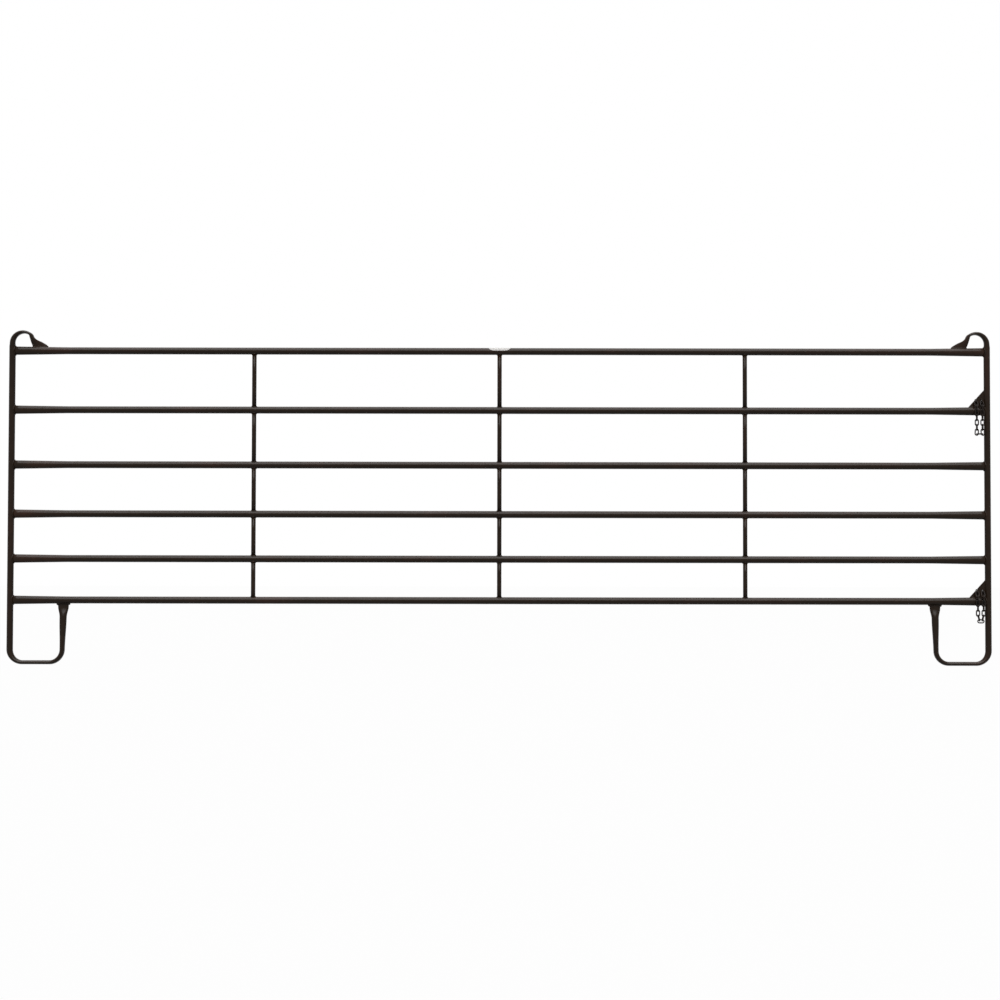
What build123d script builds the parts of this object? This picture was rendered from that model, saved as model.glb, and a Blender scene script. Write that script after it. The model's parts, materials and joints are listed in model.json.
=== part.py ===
from build123d import *

import os
from dataclasses import dataclass
from math import asin, cos, pi, radians, sin, sqrt

# A six-rail welded steel livestock panel, in millimetres.
# X runs along the panel, Y from its front to its back, Z up from the ground.
# The origin is on the ground below the middle of the panel, in the plane of the rails.

# Rails
PANEL_LENGTH = 4876.8  # over the outsides of the two uprights, 16 ft
RAIL_DIA = 34.9
RAIL_WALL = 1.65
BOTTOM_RAIL_HEIGHT = 318.0  # ground to the centre of the lowest rail
RAIL_SPACINGS = (205.0, 222.0, 244.0, 273.0, 294.0)  # centre to centre, upwards
RAIL_END_HEIGHT = 42.5  # a rail's end is pressed oval to sit on the narrower upright
RAIL_END_DEPTH = 25.1
RAIL_PRESS_LENGTH = 265.0  # length over which the end turns from round to oval

# Stays
STAY_DIA = 22.2
STAY_WALL = 1.65
STAY_PITCH = 1219.2  # one row of stays every 4 ft from the middle
STAY_COLUMNS = 3

# End tubes: arch, upright and foot in one length of tube
END_TUBE_DIA = 31.75
END_TUBE_WALL = 1.65
ARCH_RISE = 100.5  # centre of the top rail to the top of the arch
ARCH_RADIUS = 55.0  # bend radius on the tube's centre line, up to where the bend has collapsed most,
ARCH_CLOSE_RADIUS = 27.0  # and beyond, where it closes towards the rail
ARCH_TURN = 162.0  # degrees
CROWN_TURN = 120.0  # degrees of the arch after which the tube is at its thinnest
ARCH_START_WIDTH = 28.0  # widths seen from the front: where the arch begins,
ARCH_THICKNESS = 14.5  # where the bend has collapsed the tube most,
ARCH_NECK = 21.5  # and where the fan-shaped tail begins
FAN_LENGTH = 66.0  # length of tube that spreads out into the fan
FAN_BACK_TURN = 42.0  # degrees by which the fan bends back towards the rail
FAN_TAIL = 62.0  # flat length beyond the fan, cut to lie on the rail
FOOT_SPAN = 265.0  # between the centre lines of the upright and the top of the inner leg
FOOT_RADIUS = 64.0
FOOT_THICKNESS = 20.6  # height of the flattened run along the ground
FOOT_FLAT = 0.7  # depth of the flat pressed into the underside of that run
PINCH_WIDTH = 50.0  # the pinched ends, seen from the front
PINCH_DEPTH = 5.0  # and their front-to-back thickness
LEG_FLARE_LENGTH = 60.0  # length of tube that spreads out at the top of the foot's inner leg
LEG_TOP_WIDTH = 35.5  # width of that leg below its flare
LEG_FOOT_WIDTH = 25.5  # and above its bend
LEG_LEAN = 1.2  # degrees by which the leg leans towards the upright on its way down

# Corner plates
PLATE_THICKNESS = 4.8
PLATE_REACH = 76.0  # along the rail, from the upright's side
PLATE_RISE = 84.0  # up the upright, from the rail's top

# Latch chains
WIRE_DIA = 6.0
LINK_INSIDE_LENGTH = 24.5
LINK_INSIDE_WIDTH = 9.8
LINK_GAP = 0.5  # between the wires of two joined links
STRAND_SPACING = 28.0  # between the two strands of the stowed loop
SIDE_SPACING = 16.0  # between the same strands where they hold the bottom link by its side
CHAIN_TO_UPRIGHT = 12.6  # from the upright's side to the nearer strand's centre
CHAIN_TO_RAIL = 11.6  # from the front of the rail's end to the strands' centre plane
SLOT_WIDTH = 7.0
SLOT_HEIGHT_ABOVE_RAIL = 18.0  # from the rail's top to the bottom of the chain slots
SLOT_SEAT_GAP = 0.1
SEAT_SLACK = 0.35  # a strand's first link hangs this far off the slot link's bend
TAIL_TO_PLATE = 0.6  # from the plate's back to the free end link
TAIL_LEAN = 12.0  # degrees at which the free end link leans back over the rail
UPPER_STRAND_LINKS = 7  # swinging links in each strand of the upper chain
LOWER_STRAND_LINKS = 6  # and of the lower chain

# Round forms are many-sided, so that the whole panel stays light
TUBE_FACES = 16  # sides round every tube
WIRE_FACES = 8  # sides round a link's wire
BEND_FACES = 4  # and along each of its half-round ends
FLATNESS = 1e-6

# Derived sizes
RAIL_RADIUS = RAIL_DIA / 2
TUBE_RADIUS = END_TUBE_DIA / 2
UPRIGHT_X = PANEL_LENGTH / 2 - TUBE_RADIUS
RAIL_HEIGHTS = [
    BOTTOM_RAIL_HEIGHT + sum(RAIL_SPACINGS[:row]) for row in range(len(RAIL_SPACINGS), -1, -1)
]
TOP_RAIL = RAIL_HEIGHTS[0]
BOTTOM_RAIL = RAIL_HEIGHTS[-1]
LINK_WIDTH = LINK_INSIDE_WIDTH + 2 * WIRE_DIA
LINK_PITCH = LINK_INSIDE_LENGTH + WIRE_DIA  # between the wire centres at a link's two ends
LINK_BEND = (LINK_INSIDE_WIDTH + WIRE_DIA) / 2  # bend radius on the wire's centre line
CROSSING = WIRE_DIA + LINK_GAP  # between the wire centres of two joined links
JOIN_PITCH = LINK_PITCH - 2 * CROSSING  # between the two wires held in one link
LINK_PLAY = LINK_INSIDE_WIDTH / 2 - WIRE_DIA / 2 - LINK_GAP  # from a link's bend centre to a wire held in it


ROUND = (END_TUBE_DIA, END_TUBE_DIA)


def across(thickness):
    """The long diameter of a tube flattened to this thickness, for an oval of the tube's own girth."""
    return sqrt(2 * END_TUBE_DIA**2 - thickness**2)


def ease(share):
    """A share of the way from one shape to the next, level at both ends."""
    return share * share * (3 - 2 * share)


def oval_ring(plane, size, inset):
    """Corners of a many-sided oval; its first diameter lies along the plane's x direction."""
    ring = []
    for corner in range(TUBE_FACES):
        around = 2 * pi * corner / TUBE_FACES
        wide = (size[0] / 2 - inset) * cos(around)
        deep = (size[1] / 2 - inset) * sin(around)
        ring.append(plane.from_local_coords(Vector(wide, deep, 0)))
    return ring


def flat_faces(outline):
    """A four-cornered outline as one flat face, or as two triangles where it is twisted."""
    first, second, third, fourth = outline
    lift = (second - first).cross(third - first).normalized().dot(fourth - first)
    if abs(lift) < FLATNESS:
        return [Face(Wire.make_polygon(outline, close=True))]
    if lift > 0:
        halves = ([first, second, fourth], [second, third, fourth])
    else:
        halves = ([first, second, third], [first, third, fourth])
    return [Face(Wire.make_polygon(half, close=True)) for half in halves]


def ring_solid(rings, closed_loop=False):
    """A solid skinned over a row of rings, with capped ends or joined round to its start."""
    following_rings = rings[1:] + (rings[:1] if closed_loop else [])
    faces = []
    for ring, following in zip(rings, following_rings):
        for corner in range(len(ring)):
            beyond = (corner + 1) % len(ring)
            faces += flat_faces([ring[corner], ring[beyond], following[beyond], following[corner]])
    if not closed_loop:
        faces += [Face(Wire.make_polygon(ring, close=True)) for ring in (rings[0], rings[-1])]
    return Solid(Shell(faces))


def along_x(x, height):
    """A plane across the rails at one place along them."""
    return Plane((x, 0, height), x_dir=(0, 1, 0), z_dir=(1, 0, 0))


def rail_body(height, inset):
    """A rail's outer form, or its bore, from upright centre to upright centre."""
    pressed_from = UPRIGHT_X - TUBE_RADIUS - RAIL_PRESS_LENGTH
    full = (RAIL_DIA, RAIL_DIA)
    pressed = (RAIL_END_DEPTH, RAIL_END_HEIGHT)
    places = ((-UPRIGHT_X, pressed), (-pressed_from, full), (pressed_from, full), (UPRIGHT_X, pressed))
    return ring_solid([oval_ring(along_x(x, height), size, inset) for x, size in places])


def upright_bar(side):
    """The outside of one upright, past every rail, for coping what meets it."""
    heights = (BOTTOM_RAIL - RAIL_END_HEIGHT, TOP_RAIL + RAIL_END_HEIGHT)
    return ring_solid([oval_ring(Plane((side * UPRIGHT_X, 0, z)), ROUND, 0) for z in heights])


def make_rail(height):
    """A hollow rail, its ends fitted to the uprights."""
    tube = rail_body(height, 0) - rail_body(height, RAIL_WALL)
    return tube - upright_bar(1) - upright_bar(-1)


def make_stay(x, top, bottom):
    """A short tube between two rails, saddle-cut to both."""
    size = (STAY_DIA, STAY_DIA)
    ends = [Plane((x, 0, z)) for z in (bottom, top)]
    tube = ring_solid([oval_ring(end, size, 0) for end in ends])
    tube -= ring_solid([oval_ring(end, size, STAY_WALL) for end in ends])
    for height in (top, bottom):
        tube -= rail_body(height, 0)
    return tube


class TubeRun:
    """A tube in the plane of the rails, laid out run by run as a row of oval rings."""

    def __init__(self, x, z, heading, size, inset):
        self.x = x
        self.z = z
        self.heading = heading
        self.size = size
        self.inset = inset
        self.rings = [self.ring(size)]

    def ring(self, size):
        """The tube's oval, at a size, where the run has got to."""
        turn = radians(self.heading)
        tangent = Vector(cos(turn), 0, sin(turn))
        plane = Plane((self.x, 0, self.z), x_dir=tangent.cross(Vector(0, 1, 0)), z_dir=tangent)
        return oval_ring(plane, size, self.inset)

    def mixed(self, size, share):
        """A section a share of the way from the present size to another."""
        return tuple(now + (then - now) * ease(share) for now, then in zip(self.size, size))

    def go(self, length, size=None, steps=1):
        """Run straight on, ending at another size if one is given."""
        size = size or self.size
        turn = radians(self.heading)
        for step in range(steps):
            self.x += length / steps * cos(turn)
            self.z += length / steps * sin(turn)
            self.rings.append(self.ring(self.mixed(size, (step + 1) / steps)))
        self.size = size

    def turn(self, radius, angle, steps, size=None):
        """Bend to the left, as seen from the front, ending at another size if one is given."""
        size = size or self.size
        start = radians(self.heading)
        centre = (self.x - radius * sin(start), self.z + radius * cos(start))
        for step in range(steps):
            self.heading += angle / steps
            here = radians(self.heading)
            self.x = centre[0] + radius * sin(here)
            self.z = centre[1] - radius * cos(here)
            self.rings.append(self.ring(self.mixed(size, (step + 1) / steps)))
        self.size = size


ARCH_START = (ARCH_START_WIDTH, across(ARCH_START_WIDTH))
CROWN = (ARCH_THICKNESS, across(ARCH_THICKNESS))
NECK = (ARCH_NECK, across(ARCH_NECK))
RUNNER = (FOOT_THICKNESS, across(FOOT_THICKNESS))
LEG_TOP = (LEG_TOP_WIDTH, across(LEG_TOP_WIDTH))
LEG_FOOT = (LEG_FOOT_WIDTH, across(LEG_FOOT_WIDTH))
PINCH = (PINCH_WIDTH, PINCH_DEPTH)


def end_tube_form(inset):
    """The right end tube's outer form, or its bore, from the inner leg's top round to the arch's tail."""
    runner_z = FOOT_THICKNESS / 2 - FOOT_FLAT
    bend_z = runner_z + FOOT_RADIUS * (1 - sin(radians(LEG_LEAN)))
    arch_z = TOP_RAIL + ARCH_RISE - ARCH_THICKNESS / 2 - ARCH_RADIUS
    run = TubeRun(UPRIGHT_X - FOOT_SPAN, BOTTOM_RAIL, LEG_LEAN - 90, PINCH, inset)
    run.go(RAIL_RADIUS)
    run.go(LEG_FLARE_LENGTH, LEG_TOP, steps=4)
    run.go((run.z - bend_z) / cos(radians(LEG_LEAN)), LEG_FOOT)
    run.turn(FOOT_RADIUS, 90 - LEG_LEAN, 6, RUNNER)
    run.go(UPRIGHT_X - FOOT_RADIUS - run.x)
    run.turn(FOOT_RADIUS, 90, 6, ROUND)
    run.go(TOP_RAIL + RAIL_END_HEIGHT / 2 - run.z)
    run.go(arch_z - run.z, ARCH_START)
    run.turn(ARCH_RADIUS, CROWN_TURN, 7, CROWN)
    run.turn(ARCH_CLOSE_RADIUS, ARCH_TURN - CROWN_TURN, 3, NECK)
    run.turn(-FAN_LENGTH / radians(FAN_BACK_TURN), -FAN_BACK_TURN, 4, PINCH)
    run.go(FAN_TAIL)
    return ring_solid(run.rings)


def make_end_tube():
    """The right end tube: hollow, saddled on the top and bottom rails, with a flat under its foot."""
    tube = end_tube_form(0) - end_tube_form(END_TUBE_WALL)
    for height in (TOP_RAIL, BOTTOM_RAIL):
        tube -= rail_body(height, 0) - upright_bar(1)
    under_tail = Pos(UPRIGHT_X - FOOT_SPAN / 2, 0, TOP_RAIL - RAIL_DIA)
    tube -= under_tail * Box(FOOT_SPAN - 2 * END_TUBE_DIA, FOOT_SPAN, 2 * RAIL_DIA)
    below = Plane((UPRIGHT_X - FOOT_SPAN / 2, 0, -FOOT_THICKNESS))
    return tube - below * extrude(Rectangle(2 * FOOT_SPAN, 2 * FOOT_SPAN), FOOT_THICKNESS)


def strand_x(side):
    """A strand's distance along X: side -1 is the strand by the plate's open slot, 1 by the upright."""
    near = UPRIGHT_X - TUBE_RADIUS - CHAIN_TO_UPRIGHT
    return near if side > 0 else near - STRAND_SPACING


def slot_bottom(rail_height):
    """Height of the bottom of the two chain slots above one rail."""
    return rail_height + RAIL_END_HEIGHT / 2 + SLOT_HEIGHT_ABOVE_RAIL


def make_corner_plate(rail_height):
    """A corner plate over one rail: an open slot for the chain's free end, a closed one for its fixed end."""
    side_x = UPRIGHT_X - TUBE_RADIUS
    rail_top = rail_height + RAIL_END_HEIGHT / 2
    slope = PLATE_RISE / PLATE_REACH
    inside = RAIL_END_HEIGHT / 2
    corners = [
        (side_x - PLATE_REACH - inside / slope, rail_top - inside),
        (side_x + inside, rail_top - inside),
        (side_x + inside, rail_top + PLATE_RISE + inside * slope),
    ]
    front = Plane((0, PLATE_THICKNESS / 2, 0), x_dir=(1, 0, 0), z_dir=(0, -1, 0))
    plate = front * extrude(make_face(Polyline(*corners, close=True)), PLATE_THICKNESS)
    slot_radius = SLOT_WIDTH / 2
    low = slot_bottom(rail_height) + slot_radius
    closed_high = slot_bottom(rail_height) + LINK_WIDTH + 2 * SLOT_SEAT_GAP - slot_radius
    open_high = rail_top + PLATE_RISE + SLOT_WIDTH
    for side, high in ((1, closed_high), (-1, open_high)):
        slot = SlotCenterToCenter(high - low, SLOT_WIDTH, rotation=90)
        place = front * Pos(strand_x(side), (high + low) / 2)
        plate -= place * extrude(slot, PLATE_THICKNESS)
    return plate - upright_bar(1) - rail_body(rail_height, 0)


def make_link(centre, along, normal):
    """One chain link: a wire bent to a long ring about the centre."""
    plane = Plane(centre, x_dir=along, z_dir=normal)
    straight = LINK_PITCH - 2 * LINK_BEND
    rings = []
    for end in (0, 180):
        shift = straight / 2 * cos(radians(end))
        for step in range(BEND_FACES + 1):
            turn = radians(end - 90 + 180 * step / BEND_FACES)
            ring = []
            for corner in range(WIRE_FACES):
                around = 2 * pi * corner / WIRE_FACES
                reach = LINK_BEND + WIRE_DIA / 2 * cos(around)
                local = Vector(shift + reach * cos(turn), reach * sin(turn), WIRE_DIA / 2 * sin(around))
                ring.append(plane.from_local_coords(local))
            rings.append(ring)
    return ring_solid(rings, closed_loop=True)


@dataclass(frozen=True)
class Chain:
    """One stowed latch chain: both ends in its corner plate, the loop hanging in front of the rail."""

    rail_height: float
    strand_links: int

    @property
    def held_by_side(self):
        """Whether the strands end edge-on and hold the bottom link by its side, not by its two ends."""
        return self.strand_links % 2 == 0

    def seat(self, side):
        """Centre of the link that lies in a slot of the plate."""
        z = slot_bottom(self.rail_height) + SLOT_SEAT_GAP + LINK_WIDTH / 2
        return Vector(strand_x(side), 0, z)

    def pivots(self, side):
        """Hinge points down one strand, from the plate to the bottom link."""
        seat = self.seat(side)
        end = LINK_PITCH / 2 - LINK_BEND
        front = RAIL_END_DEPTH / 2 + CHAIN_TO_RAIL
        lean = asin((front - end) / (LINK_PITCH + LINK_PLAY - SEAT_SLACK))
        pull = Vector(0, -sin(lean), -cos(lean))
        points = [seat + Vector(0, -end, 0) + pull * (LINK_PLAY - SEAT_SLACK)]
        points.append(points[0] + pull * LINK_PITCH)
        for link in range(1, self.strand_links - 1):
            length = JOIN_PITCH if link % 2 else LINK_PITCH
            points.append(points[-1] + Vector(0, 0, -length))
        upper_end = self.upper_end(points[-1], self.strand_links - 1)
        spread = side * ((SIDE_SPACING if self.held_by_side else LINK_PITCH) - STRAND_SPACING) / 2
        hang = LINK_PITCH - CROSSING
        points.append(upper_end + Vector(spread, 0, -sqrt(hang**2 - spread**2)))
        return points

    def upper_end(self, pivot, number):
        """Wire centre at the upper end of a strand's link; every other link is edge-on and reaches over."""
        return pivot + Vector(0, 0, CROSSING) if number % 2 else pivot

    def strand(self, side):
        """The swinging links of one strand, from the plate downwards, front-facing and edge-on in turn."""
        points = self.pivots(side)
        links = []
        for number in range(self.strand_links):
            upper_end = self.upper_end(points[number], number)
            along = (points[number + 1] - upper_end).normalized()
            normal = Vector(0, 1, 0).cross(along) if number % 2 else along.cross(Vector(1, 0, 0))
            links.append(make_link(upper_end + along * (LINK_PITCH / 2), along, normal))
        return links

    def slot_link(self, side):
        """A link lying through the plate, edge-on to the front."""
        return make_link(self.seat(side), Vector(0, 1, 0), Vector(1, 0, 0))

    def tail_pivot(self):
        """Hinge point of the free end link behind the plate."""
        back = PLATE_THICKNESS / 2 + TAIL_TO_PLATE + WIRE_DIA / 2
        return self.seat(-1) + Vector(0, back, -LINK_PLAY)

    def tail_link(self):
        """The free end link behind the plate, hanging from the link in the open slot on to the rail's back."""
        lean = radians(TAIL_LEAN)
        down = Vector(0, sin(lean), -cos(lean))
        return make_link(self.tail_pivot() + down * (LINK_PITCH / 2), down, down.cross(Vector(1, 0, 0)))

    def bottom_pivot(self):
        """Middle of the bottom link's wire, or of its long axis, where both strands carry it."""
        return (self.pivots(1)[-1] + self.pivots(-1)[-1]) * 0.5

    def bottom_link(self):
        """The link that joins the two strands at the bottom of the loop: upright by its side, or lying flat."""
        if self.held_by_side:
            centre = self.bottom_pivot() + Vector(0, 0, -LINK_BEND)
            return make_link(centre, Vector(1, 0, 0), Vector(0, 1, 0))
        return make_link(self.bottom_pivot(), Vector(1, 0, 0), Vector(0, 0, 1))

    def links(self):
        """Every link in order, from the fixed end round the loop to the free end."""
        fixed_end = [self.slot_link(1), *self.strand(1), self.bottom_link()]
        return fixed_end + [*reversed(self.strand(-1)), self.slot_link(-1), self.tail_link()]


CHAINS = {
    "upper": Chain(RAIL_HEIGHTS[1], UPPER_STRAND_LINKS),
    "lower": Chain(BOTTOM_RAIL, LOWER_STRAND_LINKS),
}


def make_parts():
    """Every piece of the panel by name."""
    parts = {}
    for number, height in enumerate(RAIL_HEIGHTS, start=1):
        parts[f"rail_{number}"] = make_rail(height)
    right_tube = make_end_tube()
    parts["right_end_tube"] = right_tube
    parts["left_end_tube"] = mirror(right_tube, Plane.YZ)
    for column in range(STAY_COLUMNS):
        x = (column - (STAY_COLUMNS - 1) / 2) * STAY_PITCH
        for row in range(len(RAIL_HEIGHTS) - 1):
            stay = make_stay(x, RAIL_HEIGHTS[row], RAIL_HEIGHTS[row + 1])
            parts[f"stay_{column + 1}_{row + 1}"] = stay
    for place, chain in CHAINS.items():
        parts[f"{place}_corner_plate"] = make_corner_plate(chain.rail_height)
        for number, link in enumerate(chain.links(), start=1):
            parts[f"{place}_chain_link_{number:02d}"] = link
    return parts


def main():
    """Write one STEP file for each piece."""
    os.makedirs("parts", exist_ok=True)
    for name, part in make_parts().items():
        export_step(part, f"parts/{name}.step")


if __name__ == "__main__":
    main()
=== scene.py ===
"""Dresses a welded tube livestock panel: tubes, weld beads, chains, enamel and a blank label."""

import json
import logging
from dataclasses import dataclass, field
from enum import Enum
from typing import Any

import bpy
import numpy as np
from mathutils import Matrix, Vector

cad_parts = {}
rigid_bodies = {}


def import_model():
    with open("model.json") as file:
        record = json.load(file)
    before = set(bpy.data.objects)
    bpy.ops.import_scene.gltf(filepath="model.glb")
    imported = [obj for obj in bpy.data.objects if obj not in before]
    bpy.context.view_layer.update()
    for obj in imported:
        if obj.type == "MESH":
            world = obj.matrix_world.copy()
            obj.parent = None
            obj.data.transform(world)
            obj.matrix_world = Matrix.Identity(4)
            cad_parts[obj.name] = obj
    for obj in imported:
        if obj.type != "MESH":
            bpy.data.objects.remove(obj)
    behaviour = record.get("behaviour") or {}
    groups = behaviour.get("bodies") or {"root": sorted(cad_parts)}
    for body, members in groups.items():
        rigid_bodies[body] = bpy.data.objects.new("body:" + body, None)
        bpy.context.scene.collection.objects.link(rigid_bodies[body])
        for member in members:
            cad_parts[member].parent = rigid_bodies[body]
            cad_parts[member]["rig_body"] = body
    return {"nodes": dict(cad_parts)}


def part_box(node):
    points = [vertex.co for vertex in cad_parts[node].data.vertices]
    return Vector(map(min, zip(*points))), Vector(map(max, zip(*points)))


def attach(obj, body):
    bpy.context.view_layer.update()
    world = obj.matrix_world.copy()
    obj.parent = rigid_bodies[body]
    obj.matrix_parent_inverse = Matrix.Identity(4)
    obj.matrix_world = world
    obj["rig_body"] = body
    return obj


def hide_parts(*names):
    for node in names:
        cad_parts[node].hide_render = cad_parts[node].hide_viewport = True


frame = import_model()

LOG = logging.getLogger("livestock_panel")
MM = 0.001
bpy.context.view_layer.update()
NOISE_LOW, NOISE_HIGH = 0.3, 0.7  # nearly all of a noise's values lie between these
Array = np.ndarray
Size = tuple[float, float]  # two lengths in millimetres, such as a width and a depth
ALONG_X, ALONG_Y, ALONG_Z = np.eye(3)


class Side(Enum):
    """Which end of the panel a piece belongs to, as a sign along X."""

    LEFT = -1
    RIGHT = 1


class Place(Enum):
    """Which of the two latches a piece belongs to."""

    UPPER = "upper"
    LOWER = "lower"


def linear(hex_colour: str) -> tuple[float, float, float, float]:
    """Turn an sRGB hex value into a linear colour.

    Args:
        hex_colour: six hex digits after a hash.

    Returns:
        Red, green, blue and an alpha of one.
    """
    levels = np.array([int(hex_colour[i : i + 2], 16) for i in (1, 3, 5)]) / 255
    low = levels / 12.92
    high = ((levels + 0.055) / 1.055) ** 2.4
    return (*np.where(levels <= 0.04045, low, high).tolist(), 1.0)


def add_node(
    tree: bpy.types.NodeTree,
    kind: str,
    settings: dict[str, Any] | None = None,
    values: dict[str | int, Any] | None = None,
    links: dict[str | int, Any] | None = None,
) -> bpy.types.Node:
    """Add one shader node with its settings, socket values and incoming links.

    Args:
        tree: the node tree to add to.
        kind: Blender's name of the node type.
        settings: attributes of the node.
        values: constants for its input sockets, by socket name or number.
        links: output sockets to join to its inputs, by socket name or number.

    Returns:
        The new node.
    """
    node = tree.nodes.new(kind)
    for name, value in (settings or {}).items():
        setattr(node, name, value)
    for name, value in (values or {}).items():
        node.inputs[name].default_value = value
    for name, source in (links or {}).items():
        tree.links.new(source, node.inputs[name])
    return node


def new_tree(owner: bpy.types.Material | bpy.types.World) -> bpy.types.NodeTree:
    """Give a material or a world an empty node tree.

    Args:
        owner: the material or world.

    Returns:
        Its node tree.
    """
    owner.use_nodes = True
    owner.node_tree.nodes.clear()
    return owner.node_tree


@dataclass(frozen=True)
class Enamel:
    """Dip-coated alkyd enamel on mill steel, half glossy and a little uneven where it ran.

    The eye sees a nearly black brown with a soft highlight that breaks up slightly along the tube,
    faint reddish clouds where the coat is thin, a small mottle where drips flowed together, and a
    fine orange peel in the reflections.
    """

    name: str
    body: str = "#1e150d"
    thin: str = "#2a1a13"
    roughness: float = 0.25
    roughness_spread: float = 0.1
    cloud_mm: float = 420.0
    mottle_mm: float = 22.0
    mottle_share: float = 0.15
    peel_mm: float = 4.0  # real peel is near 1 mm; drawn coarser so that it shows
    peel_depth_mm: float = 0.04
    specular: float = 0.11

    def make(self) -> bpy.types.Material:
        """Build the material.

        Returns:
            A material that reads Object coordinates only.
        """
        material = bpy.data.materials.new(self.name)
        tree = new_tree(material)
        place = add_node(tree, "ShaderNodeTexCoord")
        cloud = add_node(
            tree,
            "ShaderNodeTexNoise",
            values={"Scale": 1 / (self.cloud_mm * MM), "Detail": 4.0, "Roughness": 0.6},
            links={"Vector": place.outputs["Object"]},
        )
        share = add_node(
            tree,
            "ShaderNodeMapRange",
            settings={"interpolation_type": "SMOOTHSTEP"},
            values={"From Min": 0.48, "From Max": 0.76},
            links={"Value": cloud.outputs["Fac"]},
        )
        coat = add_node(
            tree,
            "ShaderNodeMix",
            settings={"data_type": "RGBA"},
            values={6: linear(self.body), 7: linear(self.thin)},
            links={0: share.outputs["Result"]},
        )
        mottle = add_node(
            tree,
            "ShaderNodeTexNoise",
            values={
                "Scale": 1 / (self.mottle_mm * MM),
                "Detail": 5.0,
                "Roughness": 0.65,
                "Distortion": 0.4,
            },
            links={"Vector": place.outputs["Object"]},
        )
        shade = add_node(
            tree,
            "ShaderNodeMapRange",
            values={
                "From Min": NOISE_LOW,
                "From Max": NOISE_HIGH,
                "To Min": 1 - self.mottle_share,
                "To Max": 1 + self.mottle_share,
            },
            links={"Value": mottle.outputs["Fac"]},
        )
        colour = add_node(
            tree,
            "ShaderNodeVectorMath",
            settings={"operation": "MULTIPLY"},
            links={0: coat.outputs[2], 1: shade.outputs["Result"]},
        )
        sheen = add_node(
            tree,
            "ShaderNodeMapRange",
            values={
                "From Min": NOISE_LOW,
                "From Max": NOISE_HIGH,
                "To Min": self.roughness - self.roughness_spread / 2,
                "To Max": self.roughness + self.roughness_spread / 2,
            },
            links={"Value": mottle.outputs["Fac"]},
        )
        peel = add_node(
            tree,
            "ShaderNodeTexNoise",
            values={"Scale": 1 / (self.peel_mm * MM), "Detail": 1.0},
            links={"Vector": place.outputs["Object"]},
        )
        bump = add_node(
            tree,
            "ShaderNodeBump",
            values={"Strength": 0.6, "Distance": self.peel_depth_mm * MM},
            links={"Height": peel.outputs["Fac"]},
        )
        shader = add_node(
            tree,
            "ShaderNodeBsdfPrincipled",
            values={"Specular IOR Level": self.specular},
            links={
                "Base Color": colour.outputs["Vector"],
                "Roughness": sheen.outputs["Result"],
                "Normal": bump.outputs["Normal"],
            },
        )
        add_node(tree, "ShaderNodeOutputMaterial", links={"Surface": shader.outputs["BSDF"]})
        return material


@dataclass(frozen=True)
class LabelFilm:
    """Calendered vinyl film: the eye sees a satin grey, slightly yellowed and scuffed."""

    name: str = "pale_vinyl_film"
    clean: str = "#83817f"
    scuffed: str = "#7d7a75"
    roughness: float = 0.42
    scuff_mm: float = 9.0

    def make(self) -> bpy.types.Material:
        """Build the material.

        Returns:
            A material that reads Object coordinates only.
        """
        material = bpy.data.materials.new(self.name)
        tree = new_tree(material)
        place = add_node(tree, "ShaderNodeTexCoord")
        scuff = add_node(
            tree,
            "ShaderNodeTexNoise",
            values={"Scale": 1 / (self.scuff_mm * MM), "Detail": 6.0, "Roughness": 0.7},
            links={"Vector": place.outputs["Object"]},
        )
        share = add_node(
            tree,
            "ShaderNodeMapRange",
            values={"From Min": 0.45, "From Max": 0.8},
            links={"Value": scuff.outputs["Fac"]},
        )
        colour = add_node(
            tree,
            "ShaderNodeMix",
            settings={"data_type": "RGBA"},
            values={6: linear(self.clean), 7: linear(self.scuffed)},
            links={0: share.outputs["Result"]},
        )
        shader = add_node(
            tree,
            "ShaderNodeBsdfPrincipled",
            values={"Roughness": self.roughness},
            links={"Base Color": colour.outputs[2]},
        )
        add_node(tree, "ShaderNodeOutputMaterial", links={"Surface": shader.outputs["BSDF"]})
        return material


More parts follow.
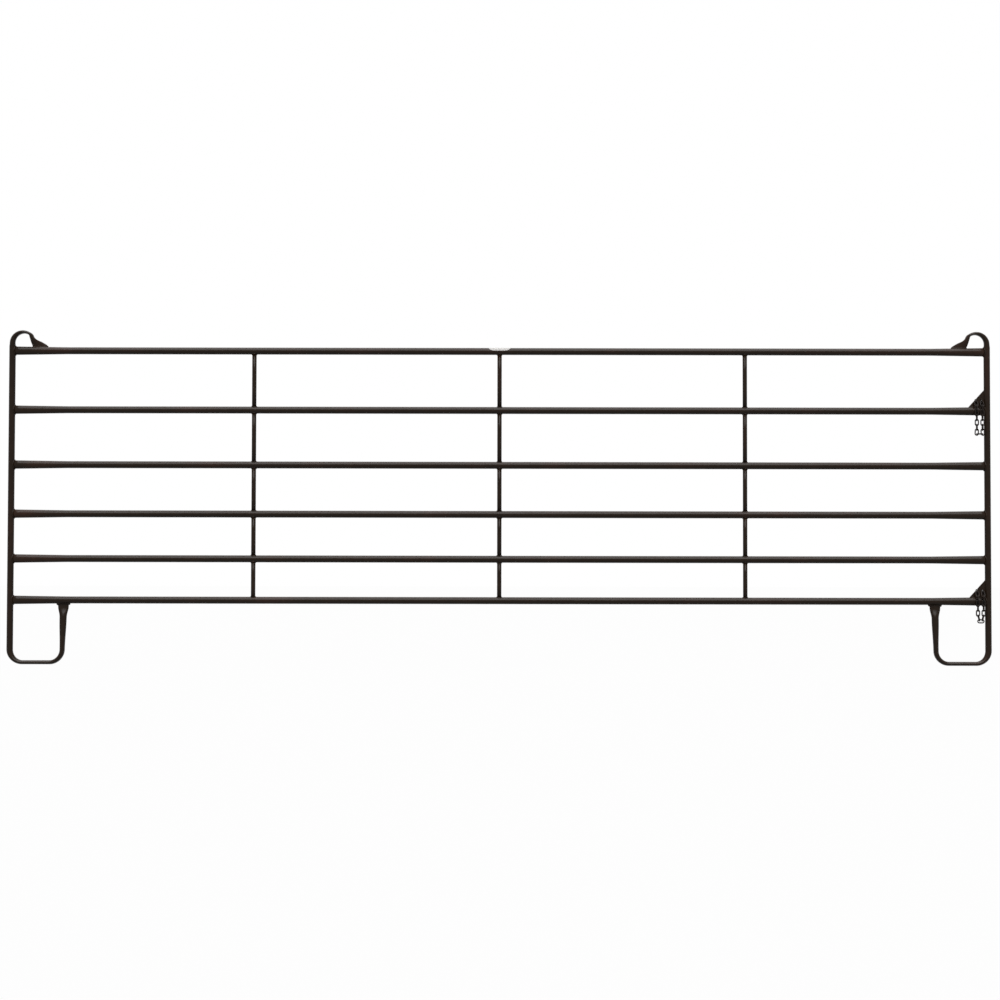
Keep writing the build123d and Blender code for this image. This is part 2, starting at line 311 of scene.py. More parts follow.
class Skin:
    """Gathers closed surface grids and turns them into one smooth mesh object."""

    def __init__(self, name: str) -> None:
        """Start an empty skin.

        Args:
            name: the object's name.
        """
        self.name = name
        self.points: list[Array] = []
        self.quads: list[Array] = []
        self.caps: list[list[int]] = []
        self.count = 0

    def add(self, grid: Array, ring_loop: bool = False) -> None:
        """Add one tube-like grid.

        The grid's first index runs along a path and its second round a closed section. Ends are
        capped, or the path is joined to its own start. The enclosed volume, a sum of corner triple
        products, tells whether the faces point outwards, and they are turned if not.

        Args:
            grid: points of shape (path, section, 3) in metres.
            ring_loop: whether the path is a closed loop.
        """
        rows, columns = grid.shape[:2]
        index = np.arange(rows * columns).reshape(rows, columns)
        ahead = np.roll(index, -1, axis=0) if ring_loop else index[1:]
        here = index if ring_loop else index[:-1]
        quads = np.stack(
            [here, np.roll(here, -1, axis=1), np.roll(ahead, -1, axis=1), ahead], axis=-1
        ).reshape(-1, 4)
        flat = grid.reshape(-1, 3)
        middle = flat - flat.mean(axis=0)
        corner = middle[quads]
        volume = sum(
            np.einsum("ij,ij->i", corner[:, 0], np.cross(corner[:, a], corner[:, b])).sum()
            for a, b in ((1, 2), (2, 3))
        )
        turned = volume < 0
        if turned:
            quads = quads[:, ::-1]
        self.points.append(flat)
        self.quads.append(quads + self.count)
        if not ring_loop:
            first, last = index[0] + self.count, index[-1] + self.count
            self.caps.append((first if turned else first[::-1]).tolist())
            self.caps.append((last[::-1] if turned else last).tolist())
        self.count += len(flat)

    def build(self, material: bpy.types.Material, body: str, *nodes: str) -> bpy.types.Object:
        """Make the object, let it ride on a body and hide the nodes that it stands for.

        Args:
            material: its finish.
            body: the body that it moves with.
            *nodes: the solids that it replaces.

        Returns:
            The new object, at the origin.
        """
        mesh = bpy.data.meshes.new(self.name)
        faces = np.concatenate(self.quads).tolist() + self.caps
        mesh.from_pydata(np.concatenate(self.points).tolist(), [], faces)
        mesh.polygons.foreach_set("use_smooth", np.ones(len(faces), dtype=bool))
        mesh.materials.append(material)
        mesh.update()
        piece = bpy.data.objects.new(self.name, mesh)
        bpy.context.scene.collection.objects.link(piece)
        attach(piece, body)
        if nodes:
            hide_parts(*nodes)
        LOG.info("%s: %d faces", self.name, len(faces))
        return piece


def round_angles(count: int) -> Array:
    """Angles in radians, spaced evenly once round a circle."""
    return np.linspace(0, 2 * np.pi, count, endpoint=False)


def carry_oval(
    centre: Array, sideways: Array, depthways: Array, widths: Array, depths: Array, sides: int
) -> Array:
    """Carry an oval along a path.

    A point is the path's point, plus half the width times the cosine of an angle along the sideways
    direction, plus half the depth times its sine along the depthways direction.

    Args:
        centre: path points, (n, 3).
        sideways: unit directions of the width, (n, 3).
        depthways: unit directions of the depth, (n, 3).
        widths: full widths, (n,).
        depths: full depths, (n,).
        sides: points round the oval.

    Returns:
        A grid of shape (n, sides, 3).
    """
    angle = round_angles(sides)
    wide = (widths[:, None] / 2 * np.cos(angle))[..., None] * sideways[:, None, :]
    deep = (depths[:, None] / 2 * np.sin(angle))[..., None] * depthways[:, None, :]
    return centre[:, None, :] + wide + deep


def evenly(curve: Array, count: int) -> Array:
    """Space points evenly round a closed curve.

    Args:
        curve: its points, (n, 3).
        count: how many points to give back.

    Returns:
        Points on the straight pieces between the given ones, at equal distances along the curve.
    """
    closed = np.concatenate([curve, curve[:1]])
    steps = np.linalg.norm(np.diff(closed, axis=0), axis=1)
    travelled = np.concatenate([[0.0], np.cumsum(steps)])
    stations = np.linspace(0, travelled[-1], count, endpoint=False)
    return np.column_stack([np.interp(stations, travelled, closed[:, axis]) for axis in range(3)])


@dataclass(frozen=True)
class WeldBead:
    """A weld run: a ridge of overlapping scales, each frozen from the moving pool."""

    ripple_mm: float
    swell: float = 0.13
    unevenness: float = 0.05
    sides: int = 10

    def lay(
        self, curve: Array, upward: Array, radius: float | Array, seed: int, loop: bool = True
    ) -> Array:
        """Lay the bead along a curve.

        A round section of the bead's radius stands on one given direction and on the direction
        across both it and the curve. Its radius swells and sinks with a sine of the distance along
        the curve, once for each scale, and a little at random.

        Args:
            curve: points in metres, (n, 3).
            upward: unit direction across the bead, (3,).
            radius: bead radius in metres, one for all points or one for each.
            seed: start of the random unevenness.
            loop: whether the curve is closed.

        Returns:
            A grid of shape (n, sides, 3).
        """
        if loop:
            ahead = np.roll(curve, -1, axis=0) - np.roll(curve, 1, axis=0)
        else:
            ahead = np.gradient(curve, axis=0)
        outward = np.cross(ahead, upward)
        outward /= np.linalg.norm(outward, axis=1, keepdims=True)
        travelled = np.cumsum(np.linalg.norm(np.diff(curve, axis=0, prepend=curve[:1]), axis=1))
        rough = np.random.default_rng(seed).normal(0, self.unevenness, len(curve))
        scales = 2 * np.pi * travelled / (self.ripple_mm * MM)
        swollen = 1 + self.swell * np.sin(scales) + rough
        angle = round_angles(self.sides)
        across = np.cos(angle)[None, :, None] * outward[:, None, :]
        along = np.sin(angle)[None, :, None] * upward
        return curve[:, None, :] + (radius * swollen)[:, None, None] * (across + along)


def ease(share: Array) -> Array:
    """Ease a share from 0 to 1 with level ends: three squares less two cubes."""
    held = np.clip(share, 0, 1)
    return held * held * (3 - 2 * held)


@dataclass
class PanelSizes:
    """Sizes in millimetres that every sub-assembly shares, with heights read from the solids."""

    length: float = 4876.8
    rail: float = 34.9
    rail_end_height: float = 42.5
    rail_end_depth: float = 25.1
    rail_press: float = 265.0
    tube: float = 31.75
    stay: float = 22.2
    rails: int = 6
    heights: Array = field(init=False)

    def __post_init__(self) -> None:
        """Read the rails' centre heights from their solids."""
        boxes = [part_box(f"rail_{number}") for number in range(1, self.rails + 1)]
        self.heights = np.array([(low.z + high.z) / 2 / MM for low, high in boxes])

    @property
    def upright_x(self) -> float:
        """Distance of an upright's centre from the panel's middle."""
        return (self.length - self.tube) / 2

    @property
    def press_from(self) -> float:
        """Where a rail begins to be pressed oval."""
        return self.upright_x - self.tube / 2 - self.rail_press

    def rail_half(self, x: Array) -> tuple[Array, Array]:
        """Half height and half depth of a rail at places along it.

        Args:
            x: distances from the panel's middle.

        Returns:
            Half heights and half depths; both run straight from round to oval where it is pressed.
        """
        pressed = self.upright_x - self.press_from
        share = np.clip((np.abs(x) - self.press_from) / pressed, 0, 1)
        tall = self.rail + (self.rail_end_height - self.rail) * share
        deep = self.rail + (self.rail_end_depth - self.rail) * share
        return tall / 2, deep / 2


@dataclass
class Rails:
    """The six long tubes, round in the middle and pressed oval at both ends."""

    sizes: PanelSizes
    finish: bpy.types.Material
    middle_reach: float = 2000.0
    middle_sections: int = 11
    press_sections: int = 9
    sides: int = 48

    def build(self) -> None:
        """Make each rail: an oval carried along X, its diameters given by the pressing."""
        taper = np.linspace(self.sizes.press_from, self.sizes.upright_x, self.press_sections)
        middle = np.linspace(-self.middle_reach, self.middle_reach, self.middle_sections)
        x = np.concatenate([-taper[::-1], middle, taper])
        tall, deep = self.sizes.rail_half(x)
        level = np.zeros((len(x), 3))
        for number, height in enumerate(self.sizes.heights, start=1):
            grid = carry_oval(
                np.column_stack([x, 0 * x, 0 * x + height]) * MM,
                level + ALONG_Y,
                level + ALONG_Z,
                2 * deep * MM,
                2 * tall * MM,
                self.sides,
            )
            skin = Skin(f"rail_{number}_round")
            skin.add(grid)
            skin.build(self.finish, "panel", f"rail_{number}")


@dataclass
class Stays:
    """The short uprights between the rails."""

    sizes: PanelSizes
    finish: bpy.types.Material
    bead_finish: bpy.types.Material
    pitch: float = 1219.2
    columns: tuple[int, ...] = (-1, 0, 1)
    sunk: float = 4.0  # how far an end reaches into the rail
    sections: int = 4
    sides: int = 32
    weld: WeldBead = WeldBead(ripple_mm=5.8)
    bead_radius: float = 2.6
    bead_clear: float = 0.4  # from both surfaces to the bead's centre
    bead_points: int = 60

    def build(self) -> None:
        """Make each stay and the weld beads round both its ends."""
        beads = Skin("stay_weld_beads")
        heights = self.sizes.heights
        for number, column in enumerate(self.columns, start=1):
            x = column * self.pitch
            for row in range(len(heights) - 1):
                node = f"stay_{number}_{row + 1}"
                skin = Skin(f"{node}_round")
                skin.add(self.tube(x, heights[row + 1], heights[row]))
                skin.build(self.finish, "panel", node)
                seed = 100 * number + row
                beads.add(self.saddle_bead(x, heights[row], -1, seed), ring_loop=True)
                beads.add(self.saddle_bead(x, heights[row + 1], 1, seed + 50), ring_loop=True)
        beads.build(self.bead_finish, "panel")

    def tube(self, x: float, bottom: float, top: float) -> Array:
        """A round bar between two rails: a circle carried up Z.

        Args:
            x: its distance from the panel's middle.
            bottom: centre height of the rail below.
            top: centre height of the rail above.

        Returns:
            A grid of shape (sections, sides, 3) in metres.
        """
        inset = self.sizes.rail / 2 - self.sunk
        z = np.linspace(bottom + inset, top - inset, self.sections)
        level = np.zeros((len(z), 3))
        centre = np.column_stack([0 * z + x, 0 * z, z]) * MM
        size = np.full(len(z), self.sizes.stay * MM)
        return carry_oval(centre, level + ALONG_X, level + ALONG_Y, size, size, self.sides)

    def saddle_bead(self, x: float, rail_height: float, up: int, seed: int) -> Array:
        """The bead where a stay meets a rail: the stay's circle, lifted on to the rail's round.

        The lift is the height of the rail's circle at each point's depth.

        Args:
            x: the stay's distance from the panel's middle.
            rail_height: the rail's centre height.
            up: 1 on top of the rail, -1 below it.
            seed: start of the bead's unevenness.

        Returns:
            The bead's grid in metres.
        """
        angle = round_angles(self.bead_points)
        radius = self.sizes.stay / 2 + self.bead_clear
        y = radius * np.sin(angle)
        lift = np.sqrt((self.sizes.rail / 2) ** 2 - y**2) + self.bead_clear
        curve = np.column_stack([x + radius * np.cos(angle), y, rail_height + up * lift]) * MM
        return self.weld.lay(curve, ALONG_Z, self.bead_radius * MM, seed)


class TubePath:
    """A tube's centre line in the plane of the rails, laid out run by run as arrays."""

    def __init__(self, x: float, z: float, heading: float, size: Size) -> None:
        """Start at a point, with a heading in degrees and a width and depth in millimetres."""
        self.x, self.z, self.heading, self.size = x, z, heading, size
        self.runs: list[Array] = [np.array([[x, z, heading, *size]])]

    def go(self, length: float, steps: int, size: Size | None = None) -> None:
        """Run straight on: the point moves along the heading while the size eases to its new value.

        Args:
            length: how far.
            steps: sections on the way.
            size: width and depth at the end, or None to keep them.
        """
        share = np.linspace(0, 1, steps + 1)[1:]
        turn = np.radians(self.heading)
        x = self.x + length * share * np.cos(turn)
        z = self.z + length * share * np.sin(turn)
        self.keep(x, z, np.full(steps, self.heading), share, size or self.size)

    def turn(self, radius: float, angle: float, steps: int, size: Size | None = None) -> None:
        """Bend to the left on a circle.

        The point is the circle's centre plus the radius, square to the heading on its right.

        Args:
            radius: of the bend's centre line.
            angle: how far it turns, in degrees.
            steps: sections on the way.
            size: width and depth at the end, or None to keep them.
        """
        share = np.linspace(0, 1, steps + 1)[1:]
        start = np.radians(self.heading)
        heading = self.heading + angle * share
        here = np.radians(heading)
        x = self.x - radius * np.sin(start) + radius * np.sin(here)
        z = self.z + radius * np.cos(start) - radius * np.cos(here)
        self.keep(x, z, heading, share, size or self.size)

    def keep(self, x: Array, z: Array, heading: Array, share: Array, size: Size) -> None:
        """Store a run's sections and move to its end.

        Args:
            x: the sections' places along the panel.
            z: their heights.
            heading: their headings in degrees.
            share: how far each is on the way, from 0 to 1.
            size: width and depth at the end.
        """
        eased = ease(share)
        width = self.size[0] + (size[0] - self.size[0]) * eased
        depth = self.size[1] + (size[1] - self.size[1]) * eased
        self.runs.append(np.column_stack([x, z, heading, width, depth]))
        self.x, self.z, self.heading = float(x[-1]), float(z[-1]), float(heading[-1])
        self.size = size

    def grid(self, side: Side, sides: int) -> Array:
        """Carry the ovals along the line, mirrored to the left end if asked.

        Args:
            side: which end of the panel.
            sides: points round the tube.

        Returns:
            A grid of shape (sections, sides, 3) in metres.
        """
        x, z, heading, width, depth = np.concatenate(self.runs).T
        turn = np.radians(heading)
        centre = np.column_stack([side.value * x, 0 * x, z]) * MM
        sideways = np.column_stack([-side.value * np.sin(turn), 0 * turn, np.cos(turn)])
        depthways = np.zeros_like(sideways) + ALONG_Y
        return carry_oval(centre, sideways, depthways, width * MM, depth * MM, sides)


@dataclass
class EndTube:
    """One end of the panel: inner leg, foot, upright and arch bent from a single tube.

    Lengths are in millimetres, the turns and the lean in degrees.
    """

    sizes: PanelSizes
    side: Side
    finish: bpy.types.Material
    bead_finish: bpy.types.Material
    arch_rise: float = 100.5
    arch_radius: float = 55.0
    arch_close_radius: float = 27.0
    arch_turn: float = 162.0
    crown_turn: float = 120.0
    arch_start: float = 28.0
    arch_thickness: float = 14.5
    arch_neck: float = 21.5
    fan_length: float = 66.0
    fan_back_turn: float = 42.0
    fan_tail: float = 28.0
    foot_span: float = 265.0
    foot_radius: float = 64.0
    foot_thickness: float = 20.6
    foot_flat: float = 0.7
    leg_flat: float = 14.0
    leg_flare: float = 60.0
    leg_top: float = 35.5
    leg_foot: float = 25.5
    leg_lean: float = 1.2
    pinch: Size = (50.0, 5.0)
    leg_pinch: Size = (53.0, 5.0)
    sides: int = 40
    flat_steps: int = 6
    flare_steps: int = 14
    leg_steps: int = 8
    foot_steps: int = 18
    runner_steps: int = 4
    upright_steps: int = 12
    rise_steps: int = 6
    crown_steps: int = 24
    closing_steps: int = 10
    fan_steps: int = 16
    tail_steps: int = 16
    rail_weld: WeldBead = WeldBead(ripple_mm=6.5)
    bead_radius: float = 3.4
    bead_clear: Size = (0.2, 0.4)  # bead's centre off the surfaces, in depth and in the plane
    bead_inward: float = 12.0  # where the rail's oval is taken, from the upright's centre
    bead_points: int = 72
    end_weld: WeldBead = WeldBead(ripple_mm=6.0)
    pool_radius: float = 4.0
    tail_pool_growth: float = 3.0
    leg_pool_growth: float = 4.5
    pool_points: int = 150
    tail_seed: int = 81
    leg_seed: int = 82

    def oval(self, thickness: float) -> Size:
        """Width and depth of the flattened tube: their squares add up to twice the round one's."""
        return thickness, float(np.sqrt(2 * self.sizes.tube**2 - thickness**2))

    def path(self) -> TubePath:
        """Lay out the tube from the inner leg's top round to the arch's tail.

        Returns:
            The path of the right end tube.
        """
        upright_x = self.sizes.upright_x
        top, low = self.sizes.heights[0], self.sizes.heights[-1]
        lean = np.radians(self.leg_lean)
        runner_z = self.foot_thickness / 2 - self.foot_flat
        bend_z = runner_z + self.foot_radius * (1 - np.sin(lean))
        arch_z = top + self.arch_rise - self.arch_thickness / 2 - self.arch_radius
        closing = self.arch_turn - self.crown_turn
        fan_radius = self.fan_length / np.radians(self.fan_back_turn)
        line = TubePath(upright_x - self.foot_span, low, self.leg_lean - 90, self.leg_pinch)
        line.go(self.sizes.rail / 2 + self.leg_flat, self.flat_steps)
        line.go(self.leg_flare - self.leg_flat / 2, self.flare_steps, self.oval(self.leg_top))
        line.go((line.z - bend_z) / np.cos(lean), self.leg_steps, self.oval(self.leg_foot))
        runner = self.oval(self.foot_thickness)
        line.turn(self.foot_radius, 90 - self.leg_lean, self.foot_steps, runner)
        line.go(upright_x - self.foot_radius - line.x, self.runner_steps)
        line.turn(self.foot_radius, 90, self.foot_steps, (self.sizes.tube, self.sizes.tube))
        line.go(top + self.sizes.rail_end_height / 2 - line.z, self.upright_steps)
        line.go(arch_z - line.z, self.rise_steps, self.oval(self.arch_start))
        crown = self.oval(self.arch_thickness)
        line.turn(self.arch_radius, self.crown_turn, self.crown_steps, crown)
        neck = self.oval(self.arch_neck)
        line.turn(self.arch_close_radius, closing, self.closing_steps, neck)
        line.turn(-fan_radius, -self.fan_back_turn, self.fan_steps, self.pinch)
        line.go(self.fan_tail, self.tail_steps)
        return line

    def build(self) -> None:
        """Make the tube, press its underside flat on the ground, and lay its weld beads."""
        name = f"{self.side.name.lower()}_end_tube"
        top, low = self.sizes.heights[0], self.sizes.heights[-1]
        grid = self.path().grid(self.side, self.sides)
        grid[..., 2] = np.maximum(grid[..., 2], 0)
        tail = grid[-(self.fan_steps + self.tail_steps) :]
        leg = grid[self.flat_steps + self.flare_steps :: -1]
        tail_curve = evenly(self.junction(tail, top, 1), self.pool_points)
        leg_curve = evenly(self.junction(leg, low, -1), self.pool_points)
        tail[..., 2] = np.maximum(tail[..., 2], top * MM)
        skin = Skin(f"{name}_bent")
        skin.add(grid)
        skin.build(self.finish, "panel", name)
        beads = Skin(f"{name}_weld_beads")
        for number, height in enumerate(self.sizes.heights):
            seed = 10 * number + self.side.value + 2
            beads.add(self.rail_bead(height, seed), ring_loop=True)
        tail_pool = self.pool(tail_curve, self.tail_pool_growth, 0.0)
        leg_pool = self.pool(leg_curve, self.leg_pool_growth, self.leg_pool_growth)
        for curve, radius, seed in (
            (tail_curve, tail_pool, self.tail_seed),
            (leg_curve, leg_pool, self.leg_seed),
        ):
            beads.add(self.end_weld.lay(curve, ALONG_Z, radius, seed), ring_loop=True)
        beads.build(self.bead_finish, "panel")

    def junction(self, grid: Array, height: float, up: int) -> Array:
        """Where a flattened end runs into a rail.

        Each line along the tube is followed until it is inside the rail's oval. A line that ends
        above the rail drops straight down on to it.

        Args:
            grid: tube sections from outside the rail to inside, (n, sides, 3) in metres.
            height: the rail's centre height in millimetres.
            up: 1 if the tube stands on the rail, -1 if it hangs below.

        Returns:
            A closed curve on the rail, (sides, 3) in metres.
        """
        tall, deep = self.sizes.rail_half(grid[..., 0] / MM)
        cover = tall * np.sqrt(np.clip(1 - (grid[..., 1] / MM / deep) ** 2, 0, 1))
        clear = up * (grid[..., 2] / MM - height) - cover
        meets = (clear < 0).any(axis=0)
        after = np.where(meets, np.argmax(clear < 0, axis=0), len(grid) - 1)
        before = np.maximum(after - 1, 0)
        column = np.arange(grid.shape[1])
        room, sunk = clear[before, column], clear[after, column]
        share = np.where(meets, room / np.maximum(room - sunk, 1e-9), 1.0)[:, None]
        curve = grid[before, column] + (grid[after, column] - grid[before, column]) * share
        on_rail = (height + up * cover[after, column]) * MM
        curve[:, 2] = np.where(meets, curve[:, 2], on_rail)
        return curve

    def pool(self, curve: Array, far_growth: float, near_growth: float) -> Array:
        """How fat the weld is round a flattened end: fattest where the strip's edge meets the rail.

        The radius grows with the fourth power of the share of the way from the middle to an edge.

        Args:
            curve: the junction, (n, 3) in metres.
            far_growth: millimetres added at the edge away from the upright.
            near_growth: millimetres added at the edge near the upright.

        Returns:
            A radius in metres for each point.
        """
        reach = np.abs(curve[:, 0])
        middle = (reach.max() + reach.min()) / 2
        share = (middle - reach) / (reach.max() - middle)
        growth = np.where(share > 0, far_growth, near_growth)
        return (self.pool_radius + growth * share**4) * MM

    def rail_bead(self, height: float, seed: int) -> Array:
        """The bead where a rail meets the upright: the rail's oval, wrapped on to its round.

        The wrap is the reach of the upright's circle at each point's depth.

        Args:
            height: the rail's centre height.
            seed: start of the bead's unevenness.

        Returns:
            The bead's grid in metres.
        """
        angle = round_angles(self.bead_points)
        tall, deep = self.sizes.rail_half(np.array([self.sizes.upright_x - self.bead_inward]))
        in_depth, in_plane = self.bead_clear
        y = (deep + in_depth) * np.cos(angle)
        z = height + (tall + in_plane) * np.sin(angle)
        wrap = np.sqrt(np.maximum((self.sizes.tube / 2) ** 2 - y**2, 0)) + in_plane
        x = self.side.value * (self.sizes.upright_x - wrap)
        curve = np.column_stack([x, y, z]) * MM
        return self.rail_weld.lay(curve, ALONG_X, self.bead_radius * MM, seed)


@dataclass
class CornerPlate:
    """A slotted corner plate: its solid is kept, with paint and beads along both welded edges."""

    sizes: PanelSizes
    place: Place
    finish: bpy.types.Material
    bead_finish: bpy.types.Material
    thickness: float = 4.8
    reach: float = 74.0
    rise: float = 82.0
    weld: WeldBead = WeldBead(ripple_mm=5.0)
    bead_radius: float = 2.4
    bead_clear: Size = (0.6, 0.2)  # off the plate's face, and over the rail or into the upright
    bead_points: int = 40
    rail_seed: int = 7
    upright_seed: int = 17

    def build(self) -> None:
        """Paint the plate and lay four straight beads, one on each side of both welded edges."""
        height = self.sizes.heights[1 if self.place is Place.UPPER else -1]
        node = frame["nodes"][f"{self.place.value}_corner_plate"]
        node.data.materials.clear()
        node.data.materials.append(self.finish)
        beads = Skin(f"{self.place.value}_plate_weld_beads")
        side_x = self.sizes.upright_x - self.sizes.tube / 2
        off_plate, off_edge = self.bead_clear
        for face in (-1, 1):
            y = face * (self.thickness / 2 + off_plate)
            x = np.linspace(side_x, side_x - self.reach, self.bead_points)
            tall, _ = self.sizes.rail_half(x)
            beads.add(self.run(x, 0 * x + y, height + tall + off_edge, self.rail_seed + face))
            rise = np.linspace(0, self.rise, self.bead_points)
            z = height + self.sizes.rail_end_height / 2 + rise
            beads.add(self.run(0 * z + side_x + off_edge, 0 * z + y, z, self.upright_seed + face))
        beads.build(self.bead_finish, "panel")

    def run(self, x: Array, y: Array, z: Array, seed: int) -> Array:
        """A straight bead in the plane of the plate, its section standing on Y."""
        curve = np.column_stack([x, y, z]) * MM
        return self.weld.lay(curve, ALONG_Y, self.bead_radius * MM, seed, loop=False)


@dataclass
class Chain:
    """A stowed latch chain: round-wire links laid exactly where their many-sided solids lie."""

    place: Place
    finish: bpy.types.Material
    wire: float = 6.0
    inside_length: float = 24.5
    inside_width: float = 9.8
    weld_swell: float = 0.09
    weld_length: float = 1.8
    bend_points: int = 15
    straight_points: int = 9
    sides: int = 16

    def ring(self) -> Array:
        """One link about the origin, long along X, its normal along Z.

        The centre line is a half circle at each end joined by straights. A section circle stands on
        the centre line's outward direction and on Z; it swells a little, as a bell curve along the
        wire, at the butt weld in one straight.

        Returns:
            A grid of shape (path, section, 3) in millimetres.
        """
        bend = (self.inside_width + self.wire) / 2
        half = (self.inside_length + self.wire) / 2 - bend
        arc = np.linspace(-np.pi / 2, np.pi / 2, self.bend_points)
        straight = np.linspace(half, -half, self.straight_points)[1:-1]
        level = 0 * straight
        turn = np.concatenate([arc, level + np.pi / 2, arc + np.pi, level - np.pi / 2])
        shift = np.concatenate([0 * arc + half, straight, 0 * arc - half, -straight])
        middle = np.column_stack([shift + bend * np.cos(turn), bend * np.sin(turn), 0 * turn])
        outward = np.column_stack([np.cos(turn), np.sin(turn), 0 * turn])
        weld = self.weld_swell * np.exp(-((straight / self.weld_length) ** 2))
        swell = np.concatenate([0 * arc, level, 0 * arc, weld])
        radius = (self.wire / 2 * (1 + swell))[:, None, None]
        angle = round_angles(self.sides)
        section = np.cos(angle)[None, :, None] * outward[:, None, :]
        section = section + np.sin(angle)[None, :, None] * ALONG_Z
        return middle[:, None, :] + radius * section

    def build(self) -> None:
        """Lay a link over each solid, along the solid's own long, wide and thin directions."""
        ring = self.ring() * MM
        start = f"{self.place.value}_chain_link_"
        for node in sorted(name for name in frame["nodes"] if name.startswith(start)):
            solid = frame["nodes"][node]
            corners = np.empty(len(solid.data.vertices) * 3)
            solid.data.vertices.foreach_get("co", corners)
            corners = np.unique(corners.reshape(-1, 3).round(7), axis=0)
            middle = (corners.max(axis=0) + corners.min(axis=0)) / 2
            _, _, axes = np.linalg.svd(corners - corners.mean(axis=0), full_matrices=False)
            axes[2] = np.cross(axes[0], axes[1])
            skin = Skin(f"{node}_wire")
            skin.add(ring @ axes + middle, ring_loop=True)
            skin.build(self.finish, solid["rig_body"], node)


@dataclass
class BlankLabel:
    """A blank pale film label, laid over the top rail at the panel's middle."""

    sizes: PanelSizes
    finish: bpy.types.Material
    length: float = 108.0
    reach_down: float = 15.5
    film: float = 0.25
    sunk: float = 0.3  # how far the film's underside lies inside the rail
    fullness: float = 3.4
    cut: float = 0.998  # share of the half width at which the outline's tip is cut off
    across_points: int = 41
    along_points: int = 61

    def build(self) -> None:
        """Make the film: a grid of angle round the rail and distance along it.

        The outline is a superellipse: the shares of half length and half width, each raised to the
        fullness, add up to one.
        """
        radius = self.sizes.rail / 2
        start = np.arcsin((radius - self.reach_down) / radius)
        share = np.sin(np.linspace(-np.pi / 2, np.pi / 2, self.across_points)) * self.cut
        across = np.pi / 2 + share * (np.pi / 2 - start)
        along = np.linspace(-self.length / 2, self.length / 2, self.along_points)
        narrow = (1 - np.abs(share) ** self.fullness) ** (1 / self.fullness)
        x = along[None, :] * narrow[:, None]
        top = self.layer(x, across, radius + self.film)
        under = self.layer(x, across, radius - self.sunk)
        skin = Skin("blank_label_film")
        skin.add(np.concatenate([top, under[:, ::-1]], axis=1))
        skin.build(self.finish, "panel")

    def layer(self, x: Array, across: Array, radius: float) -> Array:
        """One side of the film: the rail's circle at a radius, drawn out along X.

        Args:
            x: distances along the rail, (angles, places).
            across: angles round the rail.
            radius: of the circle.

        Returns:
            Points of shape (angles, places, 3) in metres.
        """
        y = np.broadcast_to(-radius * np.cos(across)[:, None], x.shape)
        z = np.broadcast_to(self.sizes.heights[0] + radius * np.sin(across)[:, None], x.shape)
        return np.stack([x, y, z], axis=-1) * MM


@dataclass(frozen=True)
class SoftLamp:
    """A broad far light; its height over the front horizon and how wide it looks are in degrees."""

    name: str
    strength: float
    height: float
    spread: float
    distance: float = 4.0  # metres; it lights the panel alike from any distance

    def hang(self) -> None:
        """Put the light into the scene, aimed from its height at the panel."""
        light = bpy.data.lights.new(self.name, "SUN")
        light.energy = self.strength
        light.angle = np.radians(self.spread)
        lamp = bpy.data.objects.new(self.name, light)
        height = np.radians(self.height)
        aim = Vector((0, np.cos(height), -np.sin(height)))
        lamp.rotation_euler = aim.to_track_quat("-Z", "Y").to_euler()
        lamp.location = -self.distance * aim
        bpy.context.scene.collection.objects.link(lamp)


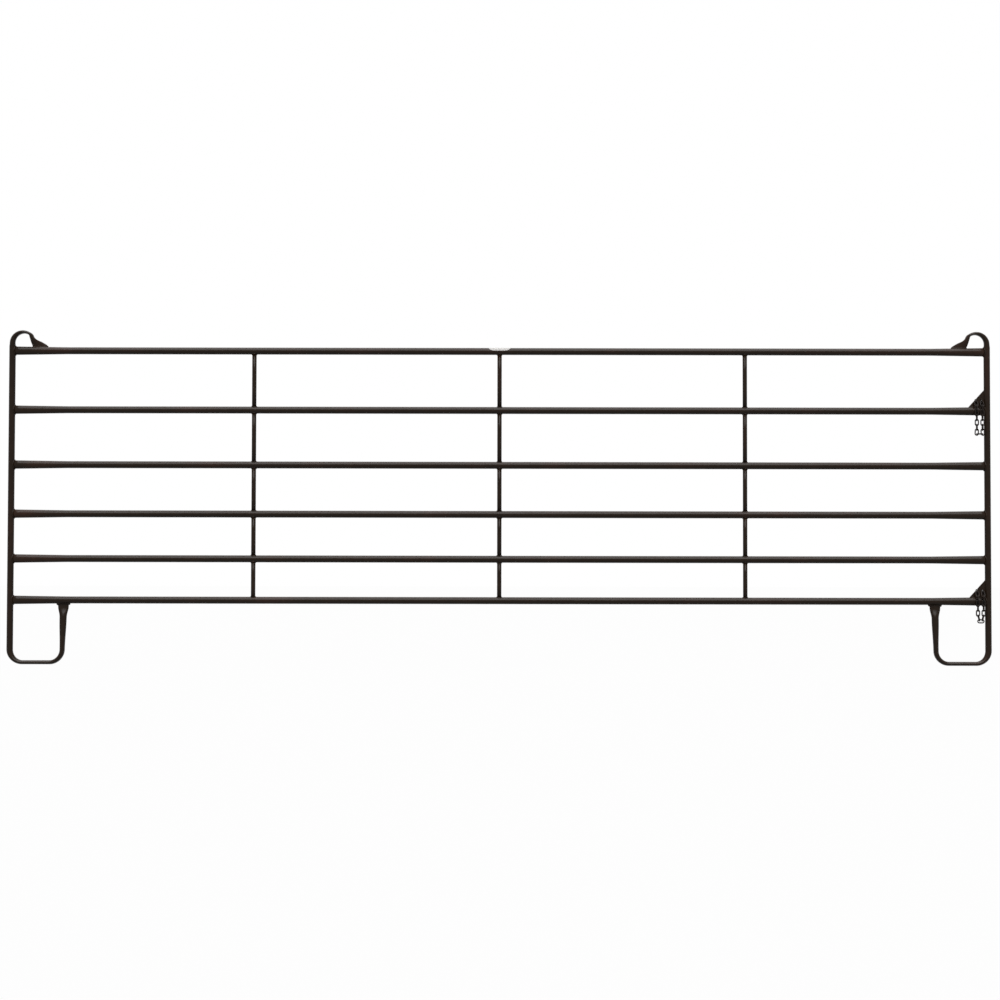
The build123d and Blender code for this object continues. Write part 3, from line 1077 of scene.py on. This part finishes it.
@dataclass
class Studio:
    """Pale floor, white surroundings, two soft lights and the camera of the picture.

    Lengths are in metres, the sensor in millimetres, and the pitch and roll in degrees.
    """

    centre: tuple[float, float, float] = (0.0032, 0.0, 0.817)
    distance: float = 10.0
    pitch: float = 1.9
    roll: float = 0.1
    view_width: float = 4.962
    sensor: float = 36.0
    floor_reach: float = 40.0
    floor_white: float = 0.98
    floor_matt: float = 0.15
    fill: float = 0.12
    lamps: tuple[SoftLamp, ...] = (
        SoftLamp("front_soft_light", strength=3.6, height=48.0, spread=46.0),
        SoftLamp("overhead_soft_light", strength=3.6, height=94.0, spread=52.0),
    )

    def build(self) -> None:
        """Set up everything that isn't part of the panel."""
        bpy.context.scene.view_settings.view_transform = "Standard"
        self.world()
        self.floor()
        for lamp in self.lamps:
            lamp.hang()
        self.camera()

    def background(self, tree: bpy.types.NodeTree) -> bpy.types.NodeSocket:
        """Tell the rays that show the surroundings from those that only light the panel.

        Args:
            tree: the node tree to add to.

        Returns:
            A socket that is one for a camera, glossy or transmission ray, else zero.
        """
        path = add_node(tree, "ShaderNodeLightPath")
        seen = add_node(
            tree,
            "ShaderNodeMath",
            settings={"operation": "MAXIMUM"},
            links={0: path.outputs["Is Camera Ray"], 1: path.outputs["Is Glossy Ray"]},
        )
        shown = add_node(
            tree,
            "ShaderNodeMath",
            settings={"operation": "MAXIMUM"},
            links={0: seen.outputs[0], 1: path.outputs["Is Transmission Ray"]},
        )
        return shown.outputs[0]

    def world(self) -> None:
        """White to the eye and in reflections, and an even dim grey as a light."""
        world = bpy.data.worlds.new("studio_world")
        bpy.context.scene.world = world
        tree = new_tree(world)
        fill, white = (
            add_node(
                tree,
                "ShaderNodeBackground",
                values={"Color": (1, 1, 1, 1), "Strength": strength},
            )
            for strength in (self.fill, 1.0)
        )
        mixed = add_node(
            tree,
            "ShaderNodeMixShader",
            links={0: self.background(tree), 1: fill.outputs[0], 2: white.outputs[0]},
        )
        add_node(tree, "ShaderNodeOutputWorld", links={"Surface": mixed.outputs[0]})

    def paper(self) -> bpy.types.Material:
        """White paper that stays white to the eye and still takes a trace of shadow.

        Returns:
            The material: nearly all white where the eye or a reflection looks, else a matt grey.
        """
        material = bpy.data.materials.new("studio_floor_paper")
        tree = new_tree(material)
        grey = (self.floor_matt, self.floor_matt, self.floor_matt, 1)
        matt = add_node(tree, "ShaderNodeBsdfDiffuse", values={"Color": grey})
        white = add_node(
            tree, "ShaderNodeEmission", values={"Color": (1, 1, 1, 1), "Strength": 1.0}
        )
        share = add_node(
            tree,
            "ShaderNodeMath",
            settings={"operation": "MULTIPLY"},
            values={1: self.floor_white},
            links={0: self.background(tree)},
        )
        mixed = add_node(
            tree,
            "ShaderNodeMixShader",
            links={0: share.outputs[0], 1: matt.outputs[0], 2: white.outputs[0]},
        )
        add_node(tree, "ShaderNodeOutputMaterial", links={"Surface": mixed.outputs[0]})
        return material

    def floor(self) -> None:
        """A square of pale floor, centred under the panel."""
        reach = self.floor_reach
        mesh = bpy.data.meshes.new("studio_floor")
        corners = [(-reach, -reach, 0), (reach, -reach, 0), (reach, reach, 0), (-reach, reach, 0)]
        mesh.from_pydata(corners, [], [[0, 1, 2, 3]])
        mesh.materials.append(self.paper())
        sheet = bpy.data.objects.new("studio_floor", mesh)
        bpy.context.scene.collection.objects.link(sheet)

    def camera(self) -> None:
        """Aim a long lens at the picture's centre from a little below it."""
        data = bpy.data.cameras.new("picture_camera")
        data.sensor_width = self.sensor
        data.lens = self.sensor * self.distance / self.view_width
        camera = bpy.data.objects.new("picture_camera", data)
        target = Vector(self.centre)
        tilt = np.radians(self.pitch)
        camera.location = target + Vector((0, -np.cos(tilt), -np.sin(tilt))) * self.distance
        aim = (target - camera.location).to_track_quat("-Z", "Y").to_matrix().to_4x4()
        rolled = Matrix.Rotation(np.radians(self.roll), 4, "Z")
        camera.matrix_world = Matrix.Translation(camera.location) @ aim @ rolled
        bpy.context.scene.collection.objects.link(camera)
        bpy.context.scene.camera = camera


def main() -> None:
    """Build the studio and dress every piece of the panel."""
    logging.basicConfig(level=logging.INFO, format="%(name)s %(message)s")
    sizes = PanelSizes()
    paint = Enamel("dark_brown_enamel").make()
    bead_paint = Enamel("enamel_on_weld", roughness=0.28, peel_mm=2.5, cloud_mm=40.0).make()
    chain_paint = Enamel(
        "worn_chain_enamel",
        body="#1b1613",
        thin="#2a201a",
        roughness=0.42,
        cloud_mm=14.0,
        mottle_mm=6.0,
        mottle_share=0.3,
        peel_mm=2.0,
    ).make()
    Studio().build()
    Rails(sizes, paint).build()
    Stays(sizes, paint, bead_paint).build()
    for side in Side:
        EndTube(sizes, side, paint, bead_paint).build()
    for place in Place:
        CornerPlate(sizes, place, paint, bead_paint).build()
        Chain(place, chain_paint).build()
    BlankLabel(sizes, LabelFilm().make()).build()


if __name__ == "__main__":
    main()
